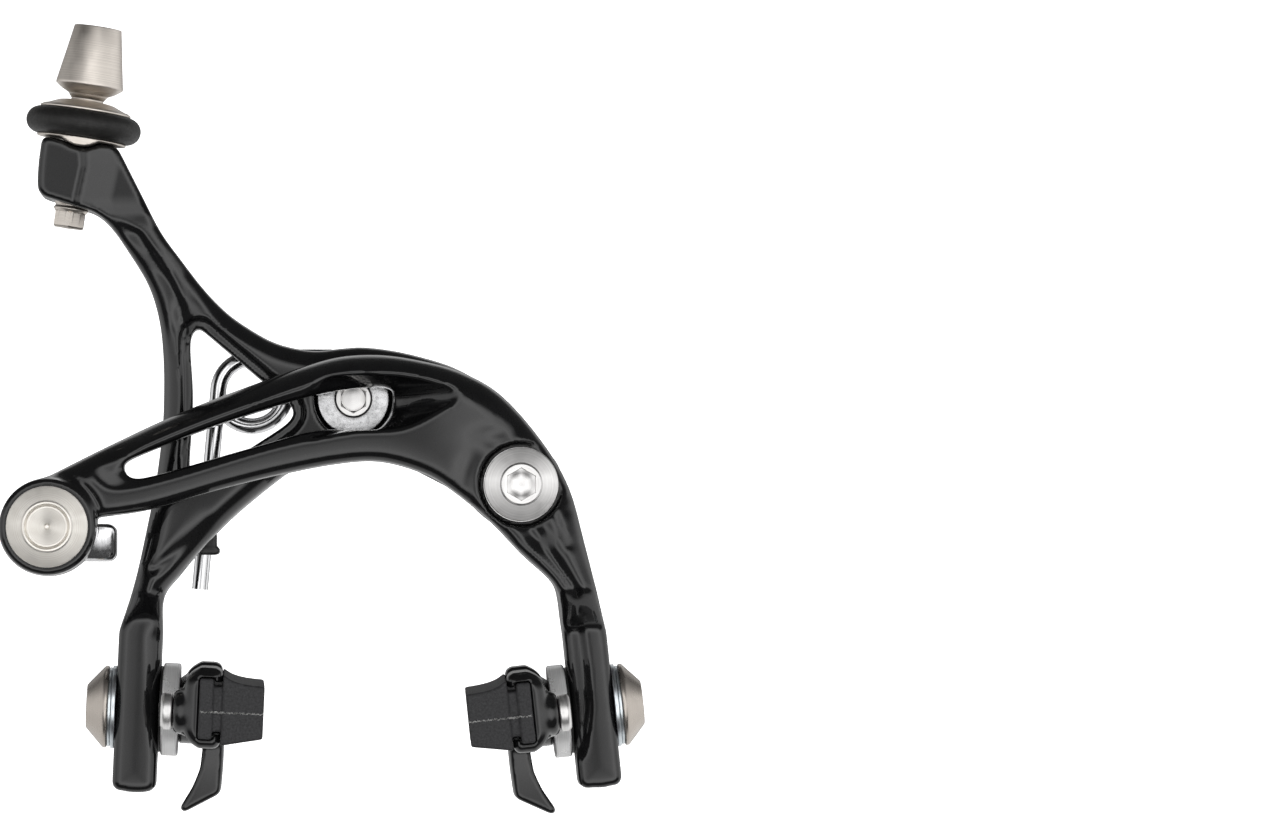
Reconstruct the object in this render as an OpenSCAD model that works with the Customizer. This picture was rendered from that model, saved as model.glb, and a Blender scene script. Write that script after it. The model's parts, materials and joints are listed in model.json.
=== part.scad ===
// Dual-pivot rim brake caliper, mid reach, rear.
// Origin: axis of the mounting bolt at the face that meets the frame.
// +X to the right seen from the front, +Y into the frame, +Z up.

/* [Pivots] */
// Distance of the side pivot to the right of the centre bolt
side_x = 27.8; // [26:0.1:29]
// Drop of the side pivot below the centre bolt
side_drop = 14.4; // [13:0.1:16]
// Radius of the pivot shafts
shaft_r = 3.5; // [3.2:0.1:3.8]
// Radius of the threaded end that goes through the frame
mount_r = 3; // [2.8:0.05:3.1]
// Length of that end behind the frame face
mount_l = 18; // [12:1:30]
// Radial running clearance of shafts and bores
run = 0.05; // [0.02:0.01:0.08]

/* [Depths, all measured forward of the frame face] */
// Front of the rear spacer
spacer_y = 4; // [3:0.5:5]
// Front of the pivot bracket
bracket_y = 9; // [8.5:0.1:9.2]
// Back and front of the long arm that carries the adjuster
y_back = 9.5; // [9.4:0.1:9.8]
y_front = 18; // [17.5:0.1:18.2]
// Back and front of the curved arm that carries the anchor
c_back = 18.5; // [18.4:0.1:18.8]
c_front = 28; // [27:0.1:29]
// Back and front of both legs
leg_back = 9; // [8.5:0.1:9.5]
leg_front = 21; // [20:0.1:22]

/* [Legs and pads] */
// Depth of the stud axis
stud_y = 15; // [14:0.5:16]
// Height of both stud axes, below the centre bolt
reach = 51.6; // [47:0.1:57]
// Centre of the left and right leg at that height
leg_left_x = 35.9; // [35:0.1:37]
leg_right_x = 39.95; // [39:0.05:41]
// Tilt of the left and right leg
tilt_left = 2.5; // [0:0.1:5]
tilt_right = 6; // [3:0.1:8]
// Half thickness of a leg
leg_half = 3.6; // [3.4:0.1:3.8]
// Radius of the pad stud
stud_r = 3; // [2.5:0.1:3.1]
// How far a pad slides up or down in its slot
slot_travel = 5; // [4:0.5:5]
// Length of the brake pad along the rim
pad_l = 50; // [45:1:55]

/* [Cable adjuster] */
// Foot of the adjuster axis
barrel_x = 47.7; // [47:0.1:48.5]
barrel_z = 28.6; // [28:0.1:29.5]
// Lean of the adjuster axis towards the wheel plane
barrel_tilt = 8.4; // [6:0.1:10]
// Depth of the adjuster axis
barrel_y = 14; // [13:0.5:15]
// Radius of the adjuster thread
thread_r = 2.95; // [2.8:0.05:3]
// Radius of the socket for the cable housing
housing_r = 2.6; // [2.5:0.05:2.7]

/* [Cable anchor] */
// Centre of the anchor boss, left of and below the centre bolt
anchor_x = 50.6; // [50:0.1:51.5]
anchor_drop = 21.5; // [21:0.1:22]
// Radius of the boss
anchor_boss_r = 8; // [7.5:0.1:8.5]

/* [Return spring] */
// Diameter of the spring wire
wire_d = 2.7; // [2:0.1:2.8]
// Mean radius of the coil
coil_r = 5.7; // [5:0.1:6]

/* [Hidden] */
$fn = 64;

side_z = -side_drop;
anchor_z = -anchor_drop;
// Contact point of the link: it divides the line between the pivots as the pads' levers do
link_share = 0.584;
link_x = side_x * link_share;
link_z = side_z * link_share;
link_angle = atan2(side_z, side_x);
link_r = 2.5;
fit = 0.02;
bush_r = 4.6;
hub_recess_y = 14;
side_recess_y = 24.4;

// Coil centre and the two ends of the return spring
coil_x = -17;
coil_z = 1.4;
wire_r = wire_d / 2;
coil_turns = 1.25;
coil_front_y = -7.4;
coil_back_y = -4.6;

// ---- curves ----

// Point at t between b and c on a curve through a, b, c and d
function through(a, b, c, d, t) = 0.5 * (2 * b + (c - a) * t
    + (2 * a - 5 * b + 4 * c - d) * t * t + (3 * b - a - 3 * c + d) * t * t * t);

// Open smooth run through the given points, with the end tangents kept plain
function run_of(p, n = 4) = let (last = len(p) - 1) len(p) < 3 ? p : [
    for (i = [0 : last - 1]) let (
        a = i == 0 ? 2 * p[0] - p[1] : p[i - 1],
        d = i == last - 1 ? 2 * p[last] - p[last - 1] : p[i + 2])
    for (k = [0 : n - 1]) through(a, p[i], p[i + 1], d, k / n),
    p[last]];

// Closed smooth loop through the given points
function loop_of(p, n = 4) = let (m = len(p)) [
    for (i = [0 : m - 1]) for (k = [0 : n - 1])
    through(p[(i + m - 1) % m], p[i], p[(i + 1) % m], p[(i + 2) % m], k / n)];

// Several runs joined with plain corners between them
function outline(runs) = [for (r = runs) each run_of(r)];

// ---- placing ----

// Plate in the X-Z plane from depth `back` to depth `front` in front of the frame face
module plate(back, front) {
    translate([0, -back, 0]) rotate([90, 0, 0]) linear_extrude(front - back) children();
}

// Profile drawn as [depth, height] and swept across the whole width
module side_profile(points) {
    translate([-80, 0, 0]) rotate([90, 0, 90]) linear_extrude(160)
        polygon([for (p = points) [-p[0], p[1]]]);
}

// Cylinder with its axis along Y, from depth `back` to depth `front`
module disc(x, z, r, back, front) {
    translate([x, -back, z]) rotate([90, 0, 0]) cylinder(h = front - back, r = r);
}

// Cone with its axis along Y, wide or narrow at the front
module cone(x, z, r_back, r_front, back, front) {
    translate([x, -back, z]) rotate([90, 0, 0]) cylinder(h = front - back, r1 = r_back, r2 = r_front);
}

// Ring with its axis along Y
module ring(x, z, r_out, r_in, back, front) {
    difference() {
        disc(x, z, r_out, back, front);
        disc(x, z, r_in, back - 1, front + 1);
    }
}

// Hexagon key socket with its axis along Y
module hex_socket(x, z, across, back, front) {
    translate([x, -back, z]) rotate([90, 0, 0])
        cylinder(h = front - back, r = across / sqrt(3), $fn = 6);
}

// Frame of the cable adjuster: +Z is its axis, upwards
module on_barrel() {
    translate([-barrel_x, -barrel_y, barrel_z]) rotate([0, barrel_tilt, 0]) children();
}

// Frame of a pad: +X along the stud from the leg's middle to the rim, +Z up the leg
module on_leg(side) {
    if (side == "left")
        translate([-leg_left_x, -stud_y, -reach]) rotate([0, tilt_left, 0]) children();
    else
        translate([leg_right_x, -stud_y, -reach]) mirror([1, 0, 0]) rotate([0, tilt_right, 0]) children();
}

// Cylinder along the stud axis in a pad's frame
module stud_disc(r, from, to) {
    translate([from, 0, 0]) rotate([0, 90, 0]) cylinder(h = to - from, r = r);
}

module stud_ring(r_out, r_in, from, to) {
    difference() {
        stud_disc(r_out, from, to);
        stud_disc(r_in, from - 1, to + 1);
    }
}

// Slot for the stud, cut through a leg along its own length
module leg_slot(side) {
    half = stud_r + 0.2;
    on_leg(side) {
        translate([-8, -half, -slot_travel]) cube([16, 2 * half, 2 * slot_travel]);
        for (end = [-1, 1]) translate([0, 0, end * slot_travel]) stud_disc(half, -8, 8);
    }
}

// Corner of a leg in the X-Z plane: `out` across the leg, `up` along it
function leg_point(side, out, up) = side == "left"
    ? [-leg_left_x + out * cos(tilt_left) + up * sin(tilt_left),
       -reach - out * sin(tilt_left) + up * cos(tilt_left)]
    : [leg_right_x - out * cos(tilt_right) - up * sin(tilt_right),
       -reach - out * sin(tilt_right) + up * cos(tilt_right)];

// ---- fixed parts ----

module mounting_bolt() color("silver") difference() {
    union() {
        disc(0, 0, mount_r, -mount_l, 0);
        disc(0, 0, shaft_r, 0, 14.4);
        disc(0, 0, 2.4, 14.4, 17.9);
    }
    hex_socket(0, 0, 2.5, 16, 19);
}

module rear_spacer() color("silver") ring(0, 0, 9, shaft_r + fit, 0, spacer_y);

// Web between the two round ends of the bracket
bracket_web = [[3, 6], [side_x, side_z + 6.9], [side_x - 3.6, side_z - 5.5], [12, -10.5], [3, -6.5]];

module pivot_bracket() color("dimgray") difference() {
    union() {
        plate(spacer_y, bracket_y) {
            circle(r = 8);
            translate([side_x, side_z]) circle(r = 7);
            polygon(bracket_web);
        }
        disc(side_x, side_z, 6, bracket_y - 1, 17.9);
        translate([-10.4, -8.4, 4.6]) cube([7.4, 4.4, 4]);
    }
    disc(0, 0, shaft_r + run, 0, 20);
    disc(side_x, side_z, shaft_r + fit, 0, 20);
    translate([-13, coil_back_y, coil_z + coil_r]) rotate([0, 90, 0]) cylinder(h = 7, r = wire_r + 0.1);
}

module hub_thrust_washer() color("gainsboro")
    ring(0, 0, 7.5, shaft_r + run, bracket_y + 0.05, y_back - 0.05);

module side_thrust_washer() color("gainsboro")
    ring(side_x, side_z, 6, shaft_r + run, 17.95, c_back - 0.05);

module centre_washer() color("darkgray") ring(0, 0, 6, 2.45, 14.45, 15.85);

module centre_nut() color("silver") ring(0, 0, 3.2, 2.45, 15.9, 17.7);

module side_pivot_bolt() color("silver") difference() {
    union() {
        disc(side_x, side_z, shaft_r, spacer_y, 25);
        disc(side_x, side_z, 5.9, 25, 27);
        cone(side_x, side_z, 5.9, 3.6, 27, 28.5);
    }
    hex_socket(side_x, side_z, 5, 26, 30);
}

module side_pivot_washer() color("silver") ring(side_x, side_z, 6.2, shaft_r + run, 24.45, 24.95);

// Wire bent as a leg, a coil of one and a quarter turns and a short hooked end
spring_path = concat(
    [[-25.7, coil_front_y, -31.8], [-25, coil_front_y, -24], [-23.2, coil_front_y, -4]],
    [for (i = [0 : 30]) let (share = i / 30, a = 180 - 360 * coil_turns * share)
        [coil_x + coil_r * cos(a), coil_front_y + (coil_back_y - coil_front_y) * share,
         coil_z + coil_r * sin(a)]],
    [[-7.5, coil_back_y, coil_z + coil_r]]);

// Closed round tube along points that stay close to the X-Z plane
module tube_along(path, r, sides = 12) {
    last = len(path) - 1;
    function direction(i) = let (v = path[min(i + 1, last)] - path[max(i - 1, 0)]) v / norm(v);
    function ring_at(i) = let (across = cross(direction(i), [0, 1, 0]), n = across / norm(across),
        b = cross(n, direction(i)))
        [for (k = [0 : sides - 1]) path[i] + r * (cos(k * 360 / sides) * n + sin(k * 360 / sides) * b)];
    points = [for (i = [0 : last]) each ring_at(i)];
    walls = [for (i = [0 : last - 1]) for (k = [0 : sides - 1]) let (m = (k + 1) % sides)
        [i * sides + k, i * sides + m, (i + 1) * sides + m, (i + 1) * sides + k]];
    ends = [[for (k = [0 : sides - 1]) sides - 1 - k], [for (k = [0 : sides - 1]) last * sides + k]];
    polyhedron(points, concat(walls, ends), convexity = 6);
}

module return_spring() color("silver") tube_along(spring_path, wire_r);

// ---- long arm ----

y_arm_runs = [
    [[-51.6, 33.6], [-52.6, 35], [-52.5, 39], [-52, 43]],
    [[-51.6, 43.6], [-50, 43.5], [-46, 42.5], [-42, 42.9], [-39.8, 42.2]],
    [[-39, 41.2], [-35.3, 33.9], [-32.2, 27.9], [-28.8, 23.2], [-24.8, 18.1], [-21, 14.3],
     [-17.3, 11.7], [-13.5, 9.6], [-9.7, 8.5], [-6, 8.1], [-2, 8.5], [2, 8.7], [8, 7.9],
     [14.5, 6.2], [18, 4.8], [21.2, 3]],
    [[22, 0], [21.8, -6], [21, -11], [18.5, -14.2]],
    [[13.5, -12.8], [8, -10.4], [0, -9.8], [-6, -9.8]],
    [[-11.3, -12.6], [-15.5, -15.9], [-20.5, -20.2], [-25.5, -25.4], [-28.8, -29.4], [-31.6, -33.2],
     leg_point("left", leg_half, 12.7)],
    [leg_point("left", leg_half, -11), [-33.6, -65.2], [-36.2, -65.6], [-39, -65],
     leg_point("left", -leg_half, -11)],
    [leg_point("left", -leg_half, 12.7), [-37.8, -35.2], [-36.2, -29.5], [-34.7, -22.7], [-33, -14],
     [-32, -6], [-31.7, 0], [-31.8, 7.2], [-32.5, 13.4], [-34.3, 19.1], [-37.8, 24.9],
     [-40.5, 28.7], [-43, 30.9], [-46, 31.9]]];

y_arm_side = [
    [20, 50], [20, 31], [y_front, 21], [y_front, -32.5], [leg_front, -36.5], [leg_front, -70],
    [leg_back, -70], [leg_back, -35], [y_back, -32], [y_back, 21], [8, 31], [8, 50]];

y_window = [[-26, 12], [-24.4, 10.8], [-15.2, 3], [-10.4, -1], [-10.3, -3.4], [-15, -6.8], [-25, -13],
    [-27, -13.2], [-27.4, -11], [-26.8, 0], [-27.3, 9.7]];

module y_arm() color([0.09, 0.09, 0.1]) difference() {
    intersection() {
        plate(5, 25) polygon(outline(y_arm_runs));
        side_profile(y_arm_side);
    }
    plate(0, 30) polygon(loop_of(y_window));
    disc(0, 0, bush_r, 0, 30);
    disc(0, 0, 6.6, hub_recess_y, 30);
    link_notch();
    on_barrel() translate([0, 0, -2]) cylinder(h = 20, r = thread_r + run);
    adjuster_valley(0.1);
    on_barrel() translate([-9, -9, seat_s - 0.05]) cube([18, 18, 4]);
    leg_slot("left");
    centring_shape(0.05);
}

// Open-ended slot in which the roller of the other arm slides
module link_notch() {
    half = link_r + 0.3;
    translate([link_x, -30, link_z]) rotate([0, -link_angle, 0]) {
        translate([-0.4, 0, -half]) cube([12, 25, 2 * half]);
        translate([-0.4, 25, 0]) rotate([90, 0, 0]) cylinder(h = 25, r = half);
    }
}

module hub_bush() color("peru") ring(0, 0, bush_r - fit, shaft_r + run, y_back, hub_recess_y);

// Set screw near the end of the long arm, pointing up and to the right
module centring_shape(extra) {
    translate([19.4, -13.8, -0.6]) rotate([0, 29, 0]) cylinder(h = 5, r = 1.5 + extra);
}

module centring_screw() color("silver") difference() {
    centring_shape(0);
    translate([19.4, -13.8, -0.6]) rotate([0, 29, 0]) translate([0, 0, 3.8])
        cylinder(h = 2, r = 1 / cos(30), $fn = 6);
}

module spring_seat() color([0.12, 0.12, 0.12]) difference() {
    translate([-24.9, 0, -24.6]) rotate([0, 5, 0]) translate([-2.2, -9.4, -1.3]) cube([4.4, 4.4, 2.6]);
    translate([-25.7, coil_front_y, -31.8]) rotate([0, 5.1, 0]) cylinder(h = 20, r = wire_r + 0.1);
}

// Rounded ridge along Y that keeps the adjuster's seat from turning
valley_r = 5;
valley_s = 18.6;
// Height of the flat top of the arm's head along the adjuster's axis
seat_s = 14.7;
module adjuster_valley(extra) {
    on_barrel() translate([0, 10, valley_s]) rotate([90, 0, 0]) cylinder(h = 20, r = valley_r + extra);
}

module adjuster_seat() color([0.68, 0.66, 0.62]) difference() {
    intersection() {
        on_barrel() translate([0, 0, 13.4]) cylinder(h = 1.75, r = 7.5);
        union() {
            adjuster_valley(0);
            on_barrel() translate([-8, -8, seat_s]) cube([16, 16, 1]);
        }
    }
    on_barrel() translate([0, 0, 12]) cylinder(h = 5, r = thread_r + run);
}

// ---- cable adjuster ----

grip_s = 17.4;
grip_core_r = 5.3;

module adjuster_wheel() color([0.68, 0.66, 0.62]) on_barrel() difference() {
    union() {
        translate([0, 0, 15.25]) cylinder(h = 4.6, r = grip_core_r);
        translate([0, 0, 19.7]) cylinder(h = 0.4, r = 7.6);
        translate([0, 0, 20.1]) cylinder(h = 1.3, r1 = 7.6, r2 = 3.7);
    }
    translate([0, 0, 10]) cylinder(h = 20, r = thread_r + run);
}

module adjuster_grip_ring() color([0.08, 0.08, 0.08]) on_barrel() difference() {
    translate([0, 0, grip_s]) rotate_extrude() translate([7.4, 0]) circle(r = 2.25, $fn = 32);
    translate([0, 0, 10]) cylinder(h = 20, r = grip_core_r + fit);
}

module adjuster_bolt() color([0.68, 0.66, 0.62]) on_barrel() difference() {
    union() {
        cylinder(h = 3, r = 2.5);
        translate([0, 0, 2.5]) cylinder(h = 20.5, r = thread_r);
        translate([0, 0, 22.6]) cylinder(h = 1.5, r1 = 3.3, r2 = 5.65);
        translate([0, 0, 24.1]) cylinder(h = 9.9, r1 = 5.65, r2 = 3.97);
    }
    translate([0, 0, 26]) cylinder(h = 12, r = housing_r);
    translate([0, 0, -1]) cylinder(h = 30, r = 0.9);
}

// ---- curved arm ----

c_arm_runs = [
    [[-anchor_x, anchor_z], [-53.5, -14.2]],
    [[-50.5, -13], [-42.2, -8.8], [-33.8, -4.7], [-25.5, -1.1], [-15.2, 2.8], [-8.8, 5.1], [-2.2, 6.9],
     [4.5, 7.2], [11.2, 6.2], [17.8, 4.4], [24.5, 0.6], [31.2, -6.9], [35.8, -14.6], [38.3, -23.6],
     [40.4, -32], leg_point("right", -leg_half, 12.5)],
    [leg_point("right", -leg_half, -11), [43.8, -64.2], [41, -64.9], [38.3, -64.4],
     leg_point("right", leg_half, -11)],
    [leg_point("right", leg_half, 12.5), [34, -33], [32.6, -30.2], [28, -26], [22.8, -20.6],
     [16.2, -15.2], [11.2, -12.4], [4.5, -10.6], [-2.2, -10.9], [-11.3, -12.6], [-21.3, -15.1],
     [-33.8, -18.6], [-43, -20]]];

c_arm_side = [
    [c_front, 10], [c_front, -32], [leg_front, -38], [leg_front, -70],
    [leg_back, -70], [leg_back, -36], [c_back, -30], [c_back, 10]];

c_pocket = [[-43.2, -12], [-42, -10.2], [-33.8, -6.4], [-25.5, -3.2], [-17.2, -0.3], [-8.8, 2.3],
    [0, 4.2], [7.8, 4], [14.5, 2.4], [18.6, 0.7], [14.5, -2.2], [7.8, -5.3], [0, -5.7],
    [-13, -8.3], [-29.7, -13.3], [-39, -15.3], [-42, -14]];

c_slot = [[-38.2, -11.6], [-37, -10.3], [-25.4, -5.6], [-15, -2.1], [-5.5, 0.6], [2, 1.8], [6.5, 1.4],
    [7.5, -2], [6, -5.2], [-5.5, -5.4], [-17, -8.4], [-33, -13], [-37, -13.4]];

// Floor of the pocket beyond the slot, rising to the front face towards the side pivot
pocket_ramp = [[6, -19.5], [19, -c_front - 1], [6, -c_front - 1]];

module c_arm() color([0.07, 0.07, 0.08]) difference() {
    union() {
        intersection() {
            plate(0, 40) polygon(outline(c_arm_runs));
            side_profile(c_arm_side);
        }
        disc(-anchor_x, anchor_z, anchor_boss_r, c_back, c_front + 0.5);
    }
    plate(c_front - 1.2, 40) polygon(loop_of(c_pocket));
    plate(0, 40) polygon(loop_of(c_slot));
    intersection() {
        plate(0, 40) polygon(loop_of(c_pocket));
        translate([0, 0, -20]) linear_extrude(40) polygon(pocket_ramp);
    }
    disc(side_x, side_z, bush_r, 0, 40);
    disc(side_x, side_z, 7, side_recess_y, 40);
    disc(-anchor_x, anchor_z, shaft_r + fit, 0, 40);
    disc(link_x, link_z, 1.27, 0, 24);
    leg_slot("right");
}

module side_bush() color("peru")
    ring(side_x, side_z, bush_r - fit, shaft_r + run, c_back, side_recess_y);

module link_pin() color("silver") disc(link_x, link_z, 1.25, 10, 24);

module link_roller() color("gainsboro") ring(link_x, link_z, link_r, 1.3, 10.2, c_back - 0.1);

// ---- cable anchor ----

module anchor_bolt() color([0.7, 0.68, 0.64]) difference() {
    union() {
        disc(-anchor_x, anchor_z, 3, 8.6, c_front);
        disc(-anchor_x, anchor_z, shaft_r, 12, c_front + 1);
        disc(-anchor_x, anchor_z, 6.75, c_front + 0.6, c_front + 1.6);
        cone(-anchor_x, anchor_z, 6.75, 4.4, c_front + 1.6, c_front + 2.4);
    }
    cone(-anchor_x, anchor_z, 3, 3.75, c_front + 1.2, c_front + 2.5);
}

module anchor_washer() color("silver")
    ring(-anchor_x, anchor_z, 6.6, shaft_r + fit, c_back - 1.1, c_back - 0.1);

module quick_release_lever() color("silver") difference() {
    union() {
        disc(-anchor_x, anchor_z, 6.2, 12.2, c_back - 1.2);
        translate([-anchor_x + 4, -c_back + 1.2, anchor_z - 5]) cube([6, c_back - 13.4, 4]);
        disc(-anchor_x + 7.9, anchor_z - 2.8, 2.9, 8, c_back - 1.2);
    }
    disc(-anchor_x, anchor_z, shaft_r + run, 0, 40);
}

module anchor_nut() color([0.6, 0.6, 0.6]) difference() {
    translate([-anchor_x, -9, anchor_z]) rotate([90, 0, 0]) cylinder(h = 2.95, r = 5, $fn = 6);
    disc(-anchor_x, anchor_z, 3 + fit, 0, 40);
}

// ---- pads, drawn once and placed on both legs ----

// Channel that grips the pad, drawn as [along the stud, up], upper half
holder_half = [[7, 0], [7, 4.2], [8.2, 5.8], [10, 6.5], [13.2, 6.5], [14.2, 5.8], [14.2, 4.1], [13.1, 4.1],
    [13.1, 5.2], [9.3, 5.2], [9.3, 0]];
pad_half = [[9.4, 0], [9.4, 5], [12.9, 5], [12.9, 3.85], [14.3, 3.85], [14.5, 6], [21.2, 4.9], [21.2, 0]];
fin_outline = [[12.4, -6.2], [15, -6.2], [14.2, -13.6], [8.2, -17], [11, -11]];
// Distance of the pad screw in front of the stud
screw_v = 20;

function both_halves(p) = concat(p, [for (i = [len(p) - 1 : -1 : 0]) if (p[i][1] > 0) [p[i][0], -p[i][1]]]);

// Sweeps an outline of the stud-and-height plane along the pad, centred on the stud
module along_pad(from, to) {
    translate([0, to, 0]) rotate([90, 0, 0]) linear_extrude(to - from) children();
}

module pad_holder(side) color([0.08, 0.08, 0.09]) on_leg(side) difference() {
    union() {
        along_pad(-pad_l / 2, pad_l / 2) polygon(both_halves(holder_half));
        translate([0, pad_l / 2 + 1.5, 0]) rotate([90, 0, 0]) linear_extrude(1.6)
            polygon([[7, -4.2], [7, 4.2], [10, 6.5], [14.2, 5.8], [14.2, -5.8], [10, -6.5]]);
        along_pad(-6, 8) polygon(fin_outline);
        translate([7, -screw_v, 0]) stud_disc(3.4, -0.8, 1);
    }
    stud_disc(stud_r + fit, 0, 9.35);
    translate([0, -screw_v, 0]) stud_disc(1.52, 0, 10);
}

module brake_pad(side) color([0.14, 0.14, 0.14]) on_leg(side) difference() {
    along_pad(-pad_l / 2, pad_l / 2 - 0.1) polygon(both_halves(pad_half));
    translate([0, -screw_v, 0]) stud_disc(1.7, 0, 11);
}

module pad_screw(side) color("silver") on_leg(side) translate([0, -screw_v, 0]) {
    stud_disc(1.5, 6.1, 10.4);
    stud_disc(3.05, 4.2, 6.15);
}

module pad_stud(side) color("silver") on_leg(side) stud_disc(stud_r, -8.2, 9.3);

module pad_seat(side) color([0.1, 0.1, 0.1])
    on_leg(side) stud_ring(7.2, stud_r + run, leg_half + 0.05, leg_half + 0.4);

module inner_washer(side) color("gainsboro")
    on_leg(side) stud_ring(7.75, stud_r + run, leg_half + 0.45, 6.95);

module outer_washer(side) color("lightsteelblue")
    on_leg(side) stud_ring(6.9, stud_r + run, -leg_half - 0.75, -leg_half - 0.05);

module lock_washer(side) color("silver")
    on_leg(side) stud_ring(6.5, stud_r + run, -leg_half - 1.3, -leg_half - 0.8);

module pad_nut(side) color([0.7, 0.69, 0.67]) on_leg(side) difference() {
    rotate([0, -90, 0]) union() {
        translate([0, 0, leg_half + 1.35]) cylinder(h = 0.5, r = 6.85);
        translate([0, 0, leg_half + 1.85]) cylinder(h = 3.2, r1 = 6.85, r2 = 4.25);
    }
    stud_disc(stud_r + run, -12, 0);
}

mounting_bolt();
rear_spacer();
pivot_bracket();
hub_thrust_washer();
centre_washer();
centre_nut();
side_pivot_bolt();
side_pivot_washer();
side_thrust_washer();
return_spring();
y_arm();
hub_bush();
centring_screw();
spring_seat();
adjuster_seat();
adjuster_wheel();
adjuster_grip_ring();
adjuster_bolt();
c_arm();
side_bush();
link_pin();
link_roller();
anchor_bolt();
anchor_washer();
anchor_nut();
quick_release_lever();
pad_seat("left");  // left_pad_seat
inner_washer("left");  // left_inner_washer
outer_washer("left");  // left_outer_washer
lock_washer("left");  // left_lock_washer
pad_nut("left");  // left_pad_nut
pad_holder("left");  // left_pad_holder
brake_pad("left");  // left_brake_pad
pad_screw("left");  // left_pad_screw
pad_stud("left");  // left_pad_stud
pad_seat("right");  // right_pad_seat
inner_washer("right");  // right_inner_washer
outer_washer("right");  // right_outer_washer
lock_washer("right");  // right_lock_washer
pad_nut("right");  // right_pad_nut
pad_holder("right");  // right_pad_holder
brake_pad("right");  // right_brake_pad
pad_screw("right");  // right_pad_screw
pad_stud("right");  // right_pad_stud
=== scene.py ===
"""Looks of a dual-pivot rim brake caliper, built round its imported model.

Shapes are worked out in millimetres and stored in metres. The row frame has +X to the right,
+Y into the bicycle's frame and +Z up. "Depth" means millimetres in front of the frame face.
"""

import json
import math

import bmesh
import bpy
import numpy as np
from mathutils import Matrix, Vector

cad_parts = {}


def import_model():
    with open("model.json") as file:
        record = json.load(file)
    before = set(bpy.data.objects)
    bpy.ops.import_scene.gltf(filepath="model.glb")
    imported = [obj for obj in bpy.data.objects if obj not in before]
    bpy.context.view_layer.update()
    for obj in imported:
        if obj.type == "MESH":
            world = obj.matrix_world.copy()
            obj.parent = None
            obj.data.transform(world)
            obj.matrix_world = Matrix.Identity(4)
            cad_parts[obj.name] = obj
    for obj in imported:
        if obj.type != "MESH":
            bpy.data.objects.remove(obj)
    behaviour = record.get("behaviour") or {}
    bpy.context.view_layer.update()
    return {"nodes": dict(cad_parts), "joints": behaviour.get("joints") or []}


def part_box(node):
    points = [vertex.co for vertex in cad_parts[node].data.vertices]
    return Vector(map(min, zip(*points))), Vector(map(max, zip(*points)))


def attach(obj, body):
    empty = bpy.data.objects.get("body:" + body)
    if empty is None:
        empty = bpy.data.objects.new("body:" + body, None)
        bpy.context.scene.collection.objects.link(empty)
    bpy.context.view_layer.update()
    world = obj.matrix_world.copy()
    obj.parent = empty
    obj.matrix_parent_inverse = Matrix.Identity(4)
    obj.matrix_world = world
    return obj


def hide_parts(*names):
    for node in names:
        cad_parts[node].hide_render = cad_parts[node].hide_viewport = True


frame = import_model()
MM = 0.001
JOINTS = {j["name"]: j for j in frame["joints"]}


# ---------------------------------------------------------------- places from the model

def millimetres(point):
    return np.array(point, float) / MM


def joint_place(name):
    """Point of a hinge's axis, in mm."""
    return millimetres(JOINTS[name]["pos_m"])


def frame_at(place, x_axis, y_axis, z_axis):
    """Matrix of a local frame whose unit is the millimetre, with its place in mm."""
    m = Matrix.Identity(4)
    for column, axis in enumerate((x_axis, y_axis, z_axis)):
        for row in range(3):
            m[row][column] = axis[row] * MM
    for row in range(3):
        m[row][3] = place[row] * MM
    return m


def forward_frame(x, z, depth=0.0):
    """Local frame whose +Z points forward, out of the caliper's front."""
    return frame_at((x, -depth, z), (1, 0, 0), (0, 0, 1), (0, -1, 0))


GRIP_S = 17.4
BARREL_AXIS = np.array(JOINTS["adjuster_turn"]["axis"], float)
BARREL_FOOT = joint_place("adjuster_turn") - GRIP_S * BARREL_AXIS
BARREL = frame_at(BARREL_FOOT, (BARREL_AXIS[2], 0, -BARREL_AXIS[0]), (0, 1, 0), BARREL_AXIS)
SIDE = joint_place("c_arm_pivot")
ANCHOR = joint_place("quick_release_turn")

# Depths of the arms and the bracket
LEG_BACK, LEG_FRONT = 9, 21
HEAD_BACK, HEAD_FRONT = 8, 20
LONG_BACK, LONG_FRONT = 9.5, 18
CURVED_BACK, CURVED_FRONT = 18.5, 28
BOSS_FRONT = 28.5
BRACKET_BACK, BRACKET_FRONT = 4, 9

# Radii of the two pivots' shafts, of the bores that run on them and of the holes for the pad studs
SHAFT_R, BORE_R, STUD_HOLE_R = 3.5, 3.55, 3.05


def leg_frame(side):
    """Pad frame: +X along the stud to the rim, +Y back, +Z up the leg. It is left-handed on the right."""
    tilt = JOINTS[side + "_pad_tilt"]
    return frame_at(millimetres(tilt["pos_m"]), tilt["axis"], (0, 1, 0),
                    JOINTS[side + "_pad_height"]["axis"])


# ---------------------------------------------------------------- meshes

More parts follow.
